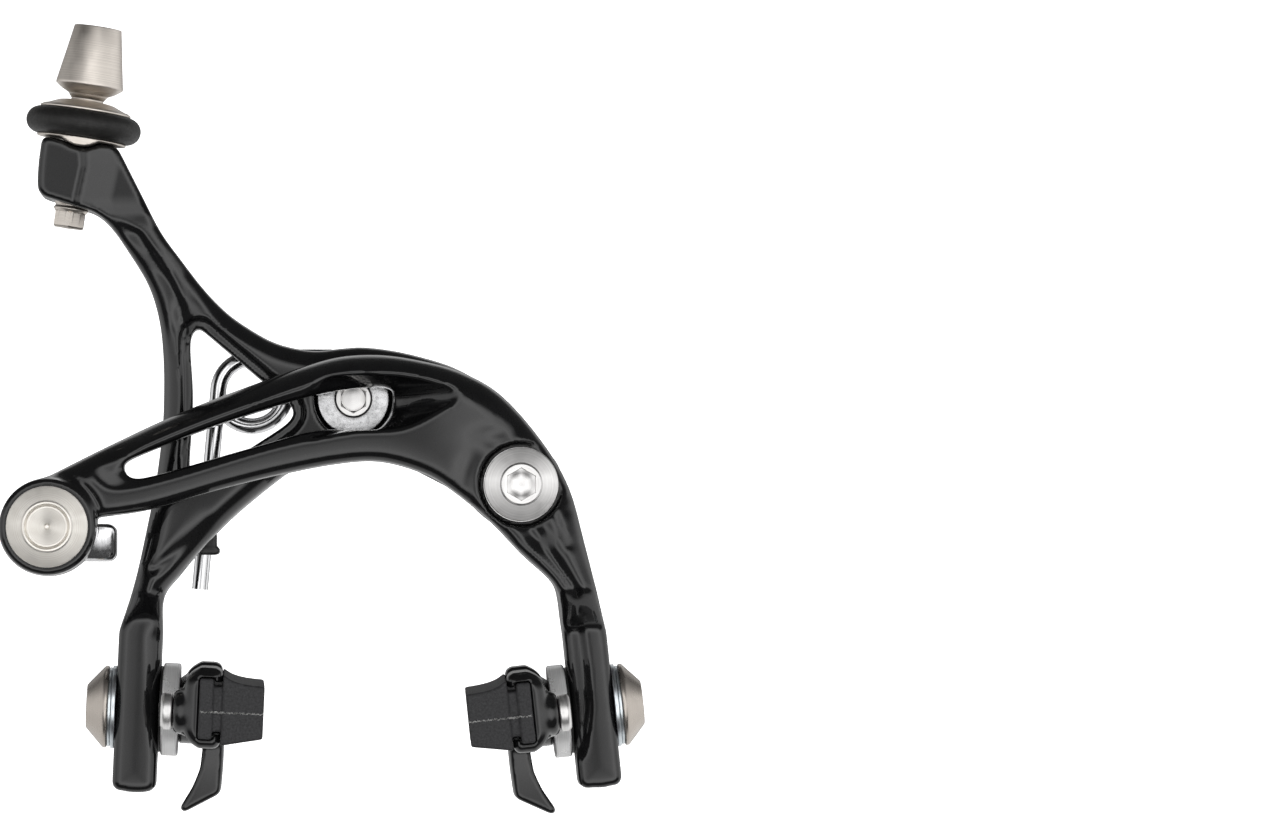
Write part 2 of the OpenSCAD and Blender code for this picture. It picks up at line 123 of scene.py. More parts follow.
def add_piece(name, points, faces, material, body, node=None, place=None, crease=35):
    """Makes a mesh piece from points in mm, lets it ride on a body and stand for CAD nodes."""
    place = place or Matrix.Diagonal((MM, MM, MM, 1))
    mirrored = place.to_3x3().determinant() < 0
    mesh = bpy.data.meshes.new(name)
    if mirrored:
        faces = [list(reversed(f)) for f in faces]
        mirror = Matrix.Diagonal((-1, 1, 1, 1))
        points = np.asarray(points, float) * (-1, 1, 1)
        place = place @ mirror
    points = np.asarray(points, float) * MM
    place = place @ Matrix.Diagonal((1 / MM, 1 / MM, 1 / MM, 1))
    mesh.from_pydata([tuple(p) for p in points], [], [list(map(int, f)) for f in faces])
    mesh.validate()
    mesh.shade_smooth()
    if crease < 180:
        mesh.set_sharp_from_angle(angle=math.radians(crease))
    mesh.materials.append(material)
    piece = bpy.data.objects.new(name, mesh)
    bpy.context.scene.collection.objects.link(piece)
    piece.matrix_world = place
    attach(piece, body)
    if node:
        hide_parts(*([node] if isinstance(node, str) else node))
    return piece


def hexagon(angle, across):
    """Radius at an angle of a hexagon with that distance across its flats."""
    part = (angle + math.pi / 6) % (math.pi / 3) - math.pi / 6
    return across / 2 / math.cos(part)


def turned(profile, sides=96, closed=False):
    """Mesh of a profile turned round +Z. An entry is (radius, height), or (across flats, height, "hex")."""
    angles = [2 * math.pi * k / sides for k in range(sides)]
    points, rings = [], []
    for entry in profile:
        if entry[0] < 1e-6:
            rings.append([len(points)] * sides)
            points.append((0, 0, entry[1]))
            continue
        rings.append(list(range(len(points), len(points) + sides)))
        for a in angles:
            r = hexagon(a, entry[0]) if len(entry) > 2 else entry[0]
            points.append((r * math.cos(a), r * math.sin(a), entry[1]))
    if closed:
        rings.append(rings[0])
    faces = []
    for low, high in zip(rings, rings[1:]):
        for k in range(sides):
            m = (k + 1) % sides
            quad = [low[k], low[m], high[m], high[k]]
            face = [v for i, v in enumerate(quad) if v != quad[i - 1]]
            if len(face) > 2:
                faces.append(face)
    return points, faces


def softened(profile, radius, closed=False, steps=3):
    """Profile with its corners cut to short arcs. Entries that are hexagons stay as they are."""
    out = []
    last = len(profile) - 1
    for i, entry in enumerate(profile):
        ends = i in (0, last) and not closed
        near = [profile[i - 1], profile[(i + 1) % len(profile)]]
        if ends or len(entry) > 2 or any(len(n) > 2 for n in near):
            out.append(entry)
            continue
        here = np.array(entry, float)
        before, after = (np.array(n, float) - here for n in near)
        cut = min(radius, np.linalg.norm(before) * 0.45, np.linalg.norm(after) * 0.45)
        start = here + before / np.linalg.norm(before) * cut
        stop = here + after / np.linalg.norm(after) * cut
        for k in range(steps + 1):
            t = k / steps
            out.append(tuple((1 - t) ** 2 * start + 2 * t * (1 - t) * here + t * t * stop))
    return out


def thread(radius, low, high, pitch=1.0, depth=0.32):
    """Profile entries of a V thread, drawn as rings."""
    turns = int((high - low) / pitch)
    crest = radius - 0.05
    entries = []
    for k in range(turns):
        at = low + k * pitch
        entries += [(radius - depth, at), (crest, at + pitch * 0.42), (crest, at + pitch * 0.55)]
    return entries + [(radius - depth, low + turns * pitch)]


# ---------------------------------------------------------------- solids from fields

class Grid:
    """Sample points of a box, in mm, as arrays that broadcast against each other."""

    def __init__(self, low, high, step):
        self.low, self.step = np.array(low, np.float32), step
        axes = [a + step * np.arange(int((b - a) / step) + 2, dtype=np.float32) for a, b in zip(low, high)]
        self.x, self.y, self.z = (axes[0][:, None, None], axes[1][None, :, None], axes[2][None, None, :])

    def full(self, field):
        shape = (self.x.size, self.y.size, self.z.size)
        return np.ascontiguousarray(np.broadcast_to(field, shape), dtype=np.float32)


def both(a, b, r):
    """Inside a and inside b, with the edge between them rounded."""
    return np.minimum(np.maximum(a, b), -r) + np.hypot(np.maximum(a + r, 0), np.maximum(b + r, 0))


def either(a, b, r):
    """Inside a or b, with a fillet between them."""
    return -both(-a, -b, r)


def without(a, b, r):
    """Inside a and outside b, with a rounded lip."""
    return both(a, -b, r)


def ramp(value, low, high):
    """Smooth step from 0 at low to 1 at high."""
    t = np.clip((value - low) / (high - low), 0, 1)
    return t * t * (3 - 2 * t)


CORNERS = np.array([(i, j, k) for i in (0, 1) for j in (0, 1) for k in (0, 1)])
CELL_EDGES = [(a, b) for a in range(8) for b in range(a + 1, 8) if np.abs(CORNERS[a] - CORNERS[b]).sum() == 1]


def sampled(field, at):
    """Field at fractional grid places, by trilinear interpolation."""
    at = np.clip(at, 0, np.array(field.shape) - 1.001)
    base = at.astype(int)
    part = at - base
    total = 0
    for c in CORNERS:
        weight = np.prod(np.where(c, part, 1 - part), axis=1)
        total = total + weight * field[tuple((base + c).T)]
    return total


def skin(field, grid):
    """Points and quads of a field's zero surface: one point per cell that it crosses."""
    field = grid.full(field)
    inside = field < 0
    cells = tuple(n - 1 for n in field.shape)
    hits = sum(inside[i:i + cells[0], j:j + cells[1], k:k + cells[2]].astype(np.uint8) for i, j, k in CORNERS)
    crossed = (hits > 0) & (hits < 8)
    index = np.argwhere(crossed)
    values = np.stack([field[tuple((index + c).T)] for c in CORNERS], 1)
    total, count = np.zeros((len(index), 3)), np.zeros(len(index))
    for a, b in CELL_EDGES:
        cut = (values[:, a] < 0) != (values[:, b] < 0)
        t = np.where(cut, values[:, a] / np.where(cut, values[:, a] - values[:, b], 1), 0)
        total += cut[:, None] * (CORNERS[a] + t[:, None] * (CORNERS[b] - CORNERS[a]))
        count += cut
    at = index + total / count[:, None]
    for _ in range(3):
        value = sampled(field, at)
        slope = np.stack([sampled(field, at + 0.5 * e) - sampled(field, at - 0.5 * e) for e in np.eye(3)], 1)
        move = -value[:, None] * slope / np.maximum((slope ** 2).sum(1), 1e-6)[:, None]
        at += np.clip(move, -0.4, 0.4)
    number = np.full(cells, -1)
    number[tuple(index.T)] = np.arange(len(index))
    quads = []
    for axis in range(3):
        ea, eb = (np.eye(3, dtype=int)[k] for k in range(3) if k != axis)
        low = np.take(inside, range(cells[axis]), axis)
        high = np.take(inside, range(1, cells[axis] + 1), axis)
        g = np.argwhere(low != high)
        g = g[((g - ea - eb) >= 0).all(1) & (g < cells).all(1)]
        quad = np.stack([number[tuple((g - off).T)] for off in (0 * ea, ea, ea + eb, eb)], 1)
        outward = np.where(low[tuple(g.T)], 1, -1) * (1 if axis != 1 else -1)
        quad[outward < 0] = quad[outward < 0][:, ::-1]
        quads.append(quad)
    return grid.low + grid.step * at, np.concatenate(quads)


def carved(name, field, grid, material, body, node=None, place=None):
    """Piece whose surface is a field's zero surface."""
    points, quads = skin(field, grid)
    return add_piece(name, points, quads, material, body, node, place, crease=180)


# ---------------------------------------------------------------- outlines cut from the model

def section(node, depth):
    """Closed outlines, as [x, z] in mm, of a CAD node cut at a depth, longest first."""
    bm = bmesh.new()
    bm.from_mesh(frame["nodes"][node].data)
    bmesh.ops.remove_doubles(bm, verts=bm.verts, dist=1e-7)
    geometry = bm.verts[:] + bm.edges[:] + bm.faces[:]
    bmesh.ops.bisect_plane(bm, geom=geometry, plane_co=(0, -depth * MM, 0), plane_no=(0, 1, 0),
                           clear_inner=True, clear_outer=True)
    bmesh.ops.remove_doubles(bm, verts=bm.verts, dist=1e-7)
    # A dict keeps the edges in order, so each run starts its outlines at the same points
    left, loops = dict.fromkeys(bm.edges), []
    while left:
        edge, _ = left.popitem()
        first, here = edge.verts
        loop = [first, here]
        while here is not first:
            onward = [e for e in here.link_edges if e in left]
            if not onward:
                break
            del left[onward[0]]
            here = onward[0].other_vert(here)
            loop.append(here)
        loops.append(np.array([(v.co.x / MM, v.co.z / MM) for v in loop[:-1]]))
    bm.free()
    return sorted(loops, key=lambda p: -np.linalg.norm(np.roll(p, -1, 0) - p, axis=1).sum())


def evened(loop, step=0.7, blur=1.0):
    """Closed outline with even spacing and its facets and corners smoothed over about `blur` mm."""
    ends = np.vstack([loop, loop[:1]])
    run = np.concatenate([[0], np.cumsum(np.linalg.norm(np.diff(ends, axis=0), axis=1))])
    fine = 0.2
    at = np.arange(0, run[-1], fine)
    points = np.stack([np.interp(at, run, ends[:, k]) for k in (0, 1)], 1)
    reach = np.arange(-int(3 * blur / fine), int(3 * blur / fine) + 1) * fine
    weights = np.exp(-0.5 * (reach / blur) ** 2)
    weights /= weights.sum()
    half = len(reach) // 2
    wrapped = np.vstack([points[-half:], points, points[:half]])
    smooth = np.stack([np.convolve(wrapped[:, k], weights, "valid") for k in (0, 1)], 1)
    return smooth[::int(step / fine)]


def distance_to(loop, grid):
    """Signed distance from an X-Z outline, negative inside, for each column of the grid."""
    x, z = grid.x[:, 0, :], grid.z[:, 0, :]
    nearest = np.full((x.size, z.size), 1e9, np.float32)
    odd = np.zeros((x.size, z.size), bool)
    for (ax, az), (bx, bz) in zip(loop, np.roll(loop, -1, 0)):
        dx, dz = bx - ax, bz - az
        t = np.clip(((x - ax) * dx + (z - az) * dz) / (dx * dx + dz * dz), 0, 1)
        nearest = np.minimum(nearest, (x - ax - t * dx) ** 2 + (z - az - t * dz) ** 2)
        if az != bz:
            odd ^= ((az > z) != (bz > z)) & (x < ax + (z - az) * dx / dz)
    return np.where(odd, -1, 1)[:, None, :] * np.sqrt(nearest)[:, None, :]


def by_height(grid, table, blur=0.7):
    """Value that follows (height, value) pairs along Z, with soft changes."""
    z = grid.z[0, 0, :]
    fine = np.linspace(-3 * blur, 3 * blur, 25)
    weights = np.exp(-0.5 * (fine / blur) ** 2)
    heights, values = zip(*table)
    mean = sum(w * np.interp(z + f, heights, values) for w, f in zip(weights, fine)) / weights.sum()
    return mean[None, None, :].astype(np.float32)


def bump_at(grid, x, z, wide, high=None):
    """Soft round hill of height 1 in the X-Z plane."""
    return np.exp(-0.5 * (((grid.x - x) / wide) ** 2 + ((grid.z - z) / (high or wide)) ** 2))


def stroke(grid, a, b):
    """Distance in the X-Z plane from the straight line between two points, and the share along it."""
    dx, dz = b[0] - a[0], b[1] - a[1]
    t = np.clip(((grid.x - a[0]) * dx + (grid.z - a[1]) * dz) / (dx * dx + dz * dz), 0, 1)
    return np.hypot(grid.x - a[0] - t * dx, grid.z - a[1] - t * dz), t


# ---------------------------------------------------------------- materials

class Look:
    """Builder of one procedural material. Lengths in its textures are millimetres."""

    def __init__(self, slot, colour, rough, metal=0.0, coat=0.0, coat_rough=0.03, specular=0.5):
        self.material = bpy.data.materials.new(slot)
        self.material["slot"] = slot
        self.material.use_nodes = True
        self.tree = self.material.node_tree
        self.shader = self.tree.nodes["Principled BSDF"]
        self.set(self.shader, {"Base Color": (*colour, 1), "Roughness": rough, "Metallic": metal,
                               "Coat Weight": coat, "Coat Roughness": coat_rough,
                               "Specular IOR Level": specular})
        self.colour, self.rough = colour, rough
        self.bump = None
        self.material.diffuse_color = (*colour, 1)

    def set(self, node, values):
        for socket, value in values.items():
            node.inputs[socket].default_value = value

    def node(self, kind, values=None, **settings):
        n = self.tree.nodes.new(kind)
        for key, value in settings.items():
            setattr(n, key, value)
        self.set(n, values or {})
        return n

    def link(self, a, b):
        self.tree.links.new(a, b)

    def place(self, stretch=(1, 1, 1)):
        """Object coordinates in mm, stretched."""
        coordinates = self.node("ShaderNodeTexCoord")
        scale = self.node("ShaderNodeVectorMath", {1: tuple(v / MM for v in stretch)}, operation="MULTIPLY")
        self.link(coordinates.outputs["Object"], scale.inputs[0])
        return scale.outputs[0]

    def noise(self, per_mm, detail=4.0, stretch=(1, 1, 1), roughness=0.5):
        n = self.node("ShaderNodeTexNoise", {"Scale": per_mm, "Detail": detail, "Roughness": roughness})
        self.link(self.place(stretch), n.inputs["Vector"])
        return n.outputs["Fac"]

    def rings(self, per_mm, detail=3.0):
        """Noise that runs in circles round the piece's own Z axis."""
        flat = self.node("ShaderNodeVectorMath", {1: (1, 1, 0)}, operation="MULTIPLY")
        self.link(self.place(), flat.inputs[0])
        radius = self.node("ShaderNodeVectorMath", operation="LENGTH")
        self.link(flat.outputs[0], radius.inputs[0])
        parts = self.node("ShaderNodeSeparateXYZ")
        self.link(self.place(), parts.inputs[0])
        run = self.node("ShaderNodeMath", {1: 0.8}, operation="MULTIPLY_ADD")
        self.link(parts.outputs["Z"], run.inputs[0])
        self.link(radius.outputs["Value"], run.inputs[2])
        n = self.node("ShaderNodeTexNoise", {"Scale": per_mm, "Detail": detail}, noise_dimensions="1D")
        self.link(run.outputs[0], n.inputs["W"])
        return n.outputs["Fac"]

    def shade(self, factor, low, high, start=0.3, stop=0.7):
        """Colour goes from low to high times the base colour as the factor rises."""
        r = self.node("ShaderNodeValToRGB")
        r.color_ramp.elements[0].position, r.color_ramp.elements[1].position = start, stop
        for element, share in zip(r.color_ramp.elements, (low, high)):
            element.color = (*[min(c * share, 1) for c in self.colour], 1)
        self.link(factor, r.inputs["Fac"])
        self.link(r.outputs["Color"], self.shader.inputs["Base Color"])
        return self

    def polish(self, factor, low, high):
        """Roughness goes from low to high as the factor rises."""
        r = self.node("ShaderNodeMapRange", {"From Min": 0.3, "From Max": 0.7, "To Min": low, "To Max": high})
        self.link(factor, r.inputs["Value"])
        self.link(r.outputs["Result"], self.shader.inputs["Roughness"])
        return self

    def relief(self, factor, height):
        """Bump of that height in mm, on top of any relief that is there already."""
        b = self.node("ShaderNodeBump", {"Distance": height * MM, "Strength": 1.0})
        self.link(factor, b.inputs["Height"])
        if self.bump:
            self.link(self.bump, b.inputs["Normal"])
        self.bump = b.outputs["Normal"]
        self.link(self.bump, self.shader.inputs["Normal"])
        return self


def gloss_black():
    look = Look("gloss_black_paint", (0.006, 0.006, 0.0065), 0.32, coat=1.0, coat_rough=0.03, specular=0.12)
    look.shade(look.noise(0.35, 5), 0.8, 1.25).polish(look.noise(2.2, 3), 0.26, 0.38)
    return look.relief(look.noise(1.6, 1), 0.001).relief(look.noise(0.22, 0), 0.004).material


def satin_black():
    look = Look("dark_anodised", (0.022, 0.022, 0.023), 0.42, metal=0.3)
    look.shade(look.noise(1.5, 5), 0.75, 1.3).polish(look.noise(3, 4), 0.36, 0.5)
    return look.relief(look.noise(7, 3), 0.004).material


def turned_metal(name, colour, rough, per_mm=9, height=0.0018, contrast=0.12, spread=0.45, metal=1.0):
    """Metal cut on a lathe: fine rings, and a sheen that spreads across them."""
    look = Look(name, colour, rough, metal=metal)
    look.shader.inputs["Anisotropic"].default_value = spread
    tangent = look.node("ShaderNodeTangent", direction_type="RADIAL", axis="Z")
    look.link(tangent.outputs["Tangent"], look.shader.inputs["Tangent"])
    rings = look.rings(per_mm)
    look.shade(rings, 1 - contrast, 1 + contrast * 0.6).polish(look.noise(0.5, 3), rough * 0.85, rough * 1.2)
    return look.relief(rings, height).material


def drawn_wire():
    look = Look("chrome_wire", (0.74, 0.74, 0.75), 0.13, metal=1.0)
    look.shade(look.noise(1.2, 4, (3, 3, 0.3)), 0.85, 1.08).polish(look.noise(2, 4), 0.08, 0.2)
    return look.relief(look.noise(6, 3, (2, 2, 0.4)), 0.002).material


def cast_metal():
    look = Look("plated_steel", (0.72, 0.72, 0.73), 0.27, metal=1.0)
    look.shade(look.noise(1.1, 6, roughness=0.7), 0.72, 1.12, 0.38, 0.6)
    look.polish(look.noise(2.2, 5), 0.16, 0.42)
    return look.relief(look.noise(1.0, 4), 0.05).relief(look.noise(5, 3), 0.007).material


def zinc_plate():
    look = Look("plated_steel", (0.74, 0.79, 0.82), 0.3, metal=1.0)
    rings = look.rings(6)
    look.shade(look.noise(0.8, 5), 0.85, 1.08).polish(rings, 0.24, 0.4)
    return look.relief(rings, 0.0015).relief(look.noise(3, 4), 0.004).material


def bearing_bronze():
    look = Look("bronze", (0.5, 0.33, 0.15), 0.36, metal=1.0)
    look.shade(look.noise(1.5, 5), 0.7, 1.15)
    return look.relief(look.noise(8, 4), 0.006).material


def grip_rubber():
    look = Look("black_rubber", (0.013, 0.0125, 0.012), 0.55, specular=0.42)
    look.shade(look.noise(0.8, 5), 0.7, 1.5).polish(look.noise(3, 4), 0.42, 0.62)
    return look.relief(look.noise(5, 4), 0.012).material


def pad_rubber():
    look = Look("black_rubber", (0.034, 0.034, 0.036), 0.62, specular=0.4)
    look.shade(look.noise(2.6, 6, roughness=0.65), 0.55, 1.6).polish(look.noise(4, 4), 0.5, 0.75)
    return look.relief(look.noise(3.2, 5), 0.05).relief(look.noise(11, 3), 0.02).material


# Light grey rubber for the black pad's seam: the colour is a painted highlight, while the seam's ridge is
# real shape
def painted_highlight_rubber():
    look = Look("black_rubber", (0.3, 0.3, 0.295), 0.7, specular=0.4)
    look.shade(look.noise(3.5, 4, roughness=0.7), 0.2, 2.2, 0.4, 0.6)
    return look.relief(look.noise(6, 3), 0.03).material


def moulded_plastic():
    look = Look("black_plastic", (0.014, 0.014, 0.014), 0.4)
    look.shade(look.noise(1, 4), 0.7, 1.4).polish(look.noise(3, 4), 0.34, 0.5)
    return look.relief(look.noise(6, 3), 0.006).material


PAINT, SATIN, CHROME, CAST = gloss_black(), satin_black(), drawn_wire(), cast_metal()
ZINC, BRONZE, GRIP, PLASTIC = zinc_plate(), bearing_bronze(), grip_rubber(), moulded_plastic()
RUBBER, PAINTED_HIGHLIGHT_FLASH = pad_rubber(), painted_highlight_rubber()
STEEL = turned_metal("silver_steel", (0.84, 0.83, 0.82), 0.36, height=0.0012)
TITANIUM = turned_metal("titanium", (0.7, 0.65, 0.595), 0.38, per_mm=10, height=0.0012, contrast=0.12)
# A paler copy of titanium whose colour is painted light: it brightens the anchor bolt's turned face
PAINTED_LIGHT_TITANIUM = turned_metal("titanium", (0.98, 0.92, 0.86), 0.48, per_mm=10, height=0.0012, contrast=0.12)
ALUMINIUM = turned_metal("machined_aluminium", (0.95, 0.95, 0.94), 0.3, per_mm=7, spread=0.0, metal=0.4)
DARK_TITANIUM = turned_metal("titanium", (0.52, 0.475, 0.43), 0.28, per_mm=8, height=0.001)


# ---------------------------------------------------------------- long arm

Y_STEP, C_STEP, SMALL_STEP = 0.42, 0.46, 0.3
HUB_BORE, RECESS_R, HUB_RECESS = 4.6, 6.6, 14.0
SIDE_RECESS_R, SIDE_RECESS = 7, 24.4
BARREL_HOLE_R = 3.05
ANCHOR_BOSS_R, ANCHOR_HOLE_R = 8, 3.55
SLOT_HALF, SLOT_TRAVEL, LEG_HALF = 3.2, 5.0, 3.6


def leg_coordinates(side, grid):
    """Across the leg towards the rim, back from the stud, and up the leg, as grid fields."""
    local = leg_frame(side).inverted()
    rows = [[local[r][c] * MM for c in range(4)] for r in range(3)]
    return [r[0] * grid.x + r[1] * grid.y + r[2] * grid.z + r[3] / MM for r in rows]


def leg_slot(side, grid):
    """Slot through a leg, in which the pad stud moves up and down."""
    across, back, up = leg_coordinates(side, grid)
    return np.maximum(np.hypot(back, np.maximum(abs(up) - SLOT_TRAVEL, 0)) - SLOT_HALF, abs(across) - 9)


def squared_end(side, grid, outline, low):
    """Outline whose leg goes down to `low` with its width kept and its corners tight."""
    across, _, up = leg_coordinates(side, grid)
    return np.minimum(outline, np.maximum(both(abs(across) - LEG_HALF, low - up, 1.5), up + 9))


def barrel_coordinates(grid):
    """Across and back from the cable adjuster's axis, as grid fields."""
    x, z = grid.x - BARREL_FOOT[0], grid.z - BARREL_FOOT[2]
    return x * BARREL_AXIS[2] - z * BARREL_AXIS[0], grid.y - BARREL_FOOT[1]


def y_arm():
    """Long arm: head, neck, window and left leg."""
    grid = Grid((-54.5, -21.8, -67.4), (24, -7.0, 45), Y_STEP)
    outer, window = section("y_arm", LONG_BACK + 1)[:2]
    edge_of = squared_end("left", grid, distance_to(evened(outer, blur=0.3), grid), -13.8)
    opening = distance_to(evened(window, blur=0.9), grid)
    depth = -grid.y
    front = by_height(grid, [(-68, LEG_FRONT), (-36.6, LEG_FRONT), (-32.6, LONG_FRONT), (21, LONG_FRONT),
                             (30.5, HEAD_FRONT), (46, HEAD_FRONT)], 0.5)
    back = by_height(grid, [(-68, LEG_BACK), (-35, LEG_BACK), (-32, LONG_BACK), (21, LONG_BACK),
                            (31, HEAD_BACK), (46, HEAD_BACK)])
    lip = by_height(grid, [(-68, 1.1), (-38, 1.3), (-33, 3.6), (6, 3.6), (14, 2.6), (22, 1.6), (31, 0.9),
                           (46, 0.9)])
    crease = grid.x - np.interp(grid.z, (33.4, 38.9, 41.4), (-46.2, -45.0, -45.2))
    fall = ramp(grid.z, 24, 34) * (0.75 * ramp(crease, -0.5, 0.6) + 0.16 * np.clip(crease, 0, 6))
    ridge = [(10, -27.4), (15.6, -28.3), (19.4, -30), (23.6, -32.7), (27.8, -35.5), (30.1, -40), (32, -46)]
    facet = grid.x - np.interp(grid.z, *zip(*ridge))
    below_head = 1 - ramp(grid.z, 27, 31)
    lowered = 0.75 * (1 - ramp(facet, -0.8, 0.8)) - 0.05 * np.clip(facet, -6, 0)
    fall = fall + below_head * ramp(grid.z, -14, 2) * lowered
    fall = fall + below_head * ramp(grid.z, 8, 16) * 0.12 * np.clip(facet, 0, 8)
    crotch = 1.1 * bump_at(grid, -28.2, 12.6, 1.6, 2.6)
    ledge = 1.0 * (1 - ramp(opening, 1.5, 2.1))
    across, _, up = leg_coordinates("left", grid)
    edge = np.interp(up, (-9, -6, 0, 12, 16), (3.4, 2.6, 1.7, 1.1, 1.4))
    band = 0.36 * np.logaddexp(0, 4 * (across - edge)) / 4 * ramp(-up, -15.5, -11) * (1 - ramp(-up, 6, 9))
    hollow, share = stroke(grid, (-33, -28.4), (-24.3, -21.3))
    hollow = 0.75 * (1 - 0.5 * share) * np.exp(-0.5 * (hollow / (0.75 + 0.5 * share)) ** 2)
    crown = by_height(grid, [(-68, 0.4), (-36, 0.4), (-30, 0.55), (6, 0.55), (14, 0.0), (46, 0.0)])
    crown = crown * np.exp(np.minimum(edge_of, 0) / 2.2)
    surface = front - fall - crotch - ledge - band - hollow - crown
    solid = both(edge_of, depth - surface, lip)
    solid = both(solid, back - depth, 0.8)
    solid = without(solid, opening, 0.5)
    hub = np.hypot(grid.x, grid.z)
    solid = without(solid, hub - HUB_BORE, 0.2)
    solid = without(solid, both(hub - RECESS_R, HUB_RECESS - depth, 0.3), 0.3)
    solid = without(solid, np.hypot(*barrel_coordinates(grid)) - BARREL_HOLE_R, 0.3)
    solid = without(solid, leg_slot("left", grid), 0.4)
    carved("y_arm_forging", solid, grid, PAINT, "y_arm", "y_arm")


# ---------------------------------------------------------------- curved arm

def c_arm():
    """Curved arm: pocket, slot, anchor boss, side pivot and right leg."""
    grid = Grid((-60, -29.4, -66.6), (46.4, -7.4, 9), C_STEP)
    outer, slot = section("c_arm", CURVED_BACK + 1)[:2]
    pocket = section("c_arm", CURVED_FRONT - 0.5)[1]
    edge_of = distance_to(evened(outer, blur=0.3), grid)
    slope = np.gradient(edge_of[:, 0, :], C_STEP, axis=1)[:, None, :]
    edge_of = squared_end("right", grid, edge_of, -13.2)
    depth = -grid.y
    front = by_height(grid, [(-68, LEG_FRONT), (-38, LEG_FRONT), (-32, CURVED_FRONT),
                             (10, CURVED_FRONT)], 0.5)
    back = by_height(grid, [(-68, LEG_BACK), (-36, LEG_BACK), (-30, CURVED_BACK), (10, CURVED_BACK)], 0.5)
    on_top = ramp(slope, -0.3, 0.5)
    lip = by_height(grid, [(-68, 1.1), (-40, 1.3), (-33, 1.9), (10, 1.9)])
    lip = lip * (0.85 + 1.5 * on_top * ramp(grid.z, -36, -24))
    side = np.hypot(grid.x - SIDE[0], grid.z - SIDE[2])
    around = np.arctan2(grid.z - SIDE[2], grid.x - SIDE[0])
    crescent = 0.3 * np.exp(-0.5 * ((side - 9.3) / 1.2) ** 2) * ramp(np.cos(around + 2.3), -0.1, 0.4)
    dimple = 0.6 * bump_at(grid, 23.2, -6.6, 2.6, 1.5)
    tear, share = stroke(grid, (33.6, -19.6), (35.4, -24.4))
    tear = 0.3 * np.exp(-0.5 * (tear / (0.4 + 0.3 * share)) ** 2)
    crease, share = stroke(grid, (27.8, -19.5), (37.0, -32.3))
    crease = (1.0 - 0.3 * share) * np.exp(-0.5 * (crease / (1.3 - 0.7 * share)) ** 2)
    across, _, up = leg_coordinates("right", grid)
    edge = np.interp(up, (-9, -5, 0, 6, 16), (2.6, 1.6, 0.4, 0.2, 0.5))
    band = 0.6 * ramp(across - edge, -0.6, 0.6) * ramp(-up, -15.5, -12.5) * (1 - ramp(-up, 6, 9))
    boss_r = np.hypot(grid.x - ANCHOR[0], grid.z - ANCHOR[2])
    turn = np.arctan2(grid.z - ANCHOR[2], grid.x - ANCHOR[0])
    lens = 0.5 * np.exp(-0.5 * ((boss_r - 9.0) / 0.4) ** 2) * ramp(np.cos(turn - 0.85), 0.7, 0.95)
    crown = by_height(grid, [(-68, 0.4), (-22, 0.4), (-14, 0.8), (10, 0.8)])
    crown = crown * np.exp(np.minimum(edge_of, 0) / 2.4)
    crown = crown + 0.1 * np.minimum(np.logaddexp(0, 0.5 * (grid.x - 13)) / 0.5, 14) * ramp(grid.z, -26, -14)
    rail = on_top * ramp(grid.x, -43, -36) * (1 - ramp(grid.x, 0, 14))
    crown = crown + 0.33 * rail * np.clip(5.5 + edge_of, 0, 6)
    surface = front - crescent - dimple - tear - crease - band - lens - crown
    solid = both(edge_of, depth - surface, lip)
    boss = both(both(boss_r - ANCHOR_BOSS_R, depth - BOSS_FRONT, 0.8), CURVED_BACK - depth, 0.5)
    solid = either(solid, boss, 0.6)
    solid = both(solid, back - depth, 0.9)
    well = distance_to(evened(pocket, blur=0.6), grid)
    cut = distance_to(evened(slot, blur=0.9), grid)
    cut = both(cut, np.where(grid.x > 0, np.hypot(grid.x, grid.z) - 6.7, -6.7), 0.3)
    floor = 27.6 + (0.75 - 0.55 * (1 - ramp(grid.x, -40, -34))) * well
    nose = 19.5 + 8.9 * ramp(grid.x, 5.5, 20.5)
    share = ramp(grid.x, -9, 7)
    floor = (1 - share) * floor + share * nose
    wall = well + 0.42 * share * np.clip(CURVED_FRONT - depth, 0, 9)
    solid = without(solid, both(wall, floor - depth, 0.6), 0.7)
    solid = without(solid, cut, 0.6)
    solid = without(solid, side - HUB_BORE, 0.2)
    solid = without(solid, both(side - SIDE_RECESS_R, SIDE_RECESS - depth, 0.3), 0.4)
    solid = without(solid, boss_r - ANCHOR_HOLE_R, 0.2)
    solid = without(solid, leg_slot("right", grid), 0.4)
    carved("c_arm_forging", solid, grid, PAINT, "c_arm", "c_arm")


y_arm()
c_arm()


# ---------------------------------------------------------------- turned parts

def middle(node):
    """Centre of a CAD node's box, in mm."""
    low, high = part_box(node)
    return millimetres((low + high) / 2)


def lathe(name, body, place, material, profile, node=None, closed=False, sides=96, radius=0.15, crease=28):
    """Piece turned round the Z axis of its place, with its corners softened."""
    points, faces = turned(softened(profile, radius, closed), sides, closed)
    return add_piece(name, points, faces, material, body, node or name, place, crease)


def washer(name, body, place, material, inner, outer, low, high, radius=0.15):
    return lathe(name, body, place, material, [(inner, low), (outer, low), (outer, high), (inner, high)],
                 closed=True, radius=radius)


HUB = forward_frame(0, 0)
SIDE_FRAME = forward_frame(SIDE[0], SIDE[2])
ANCHOR_FRAME = forward_frame(ANCHOR[0], ANCHOR[2])
SET_SCREW_FOOT, SET_SCREW_LEAN = (19.4, -13.8, -0.6), math.radians(29)


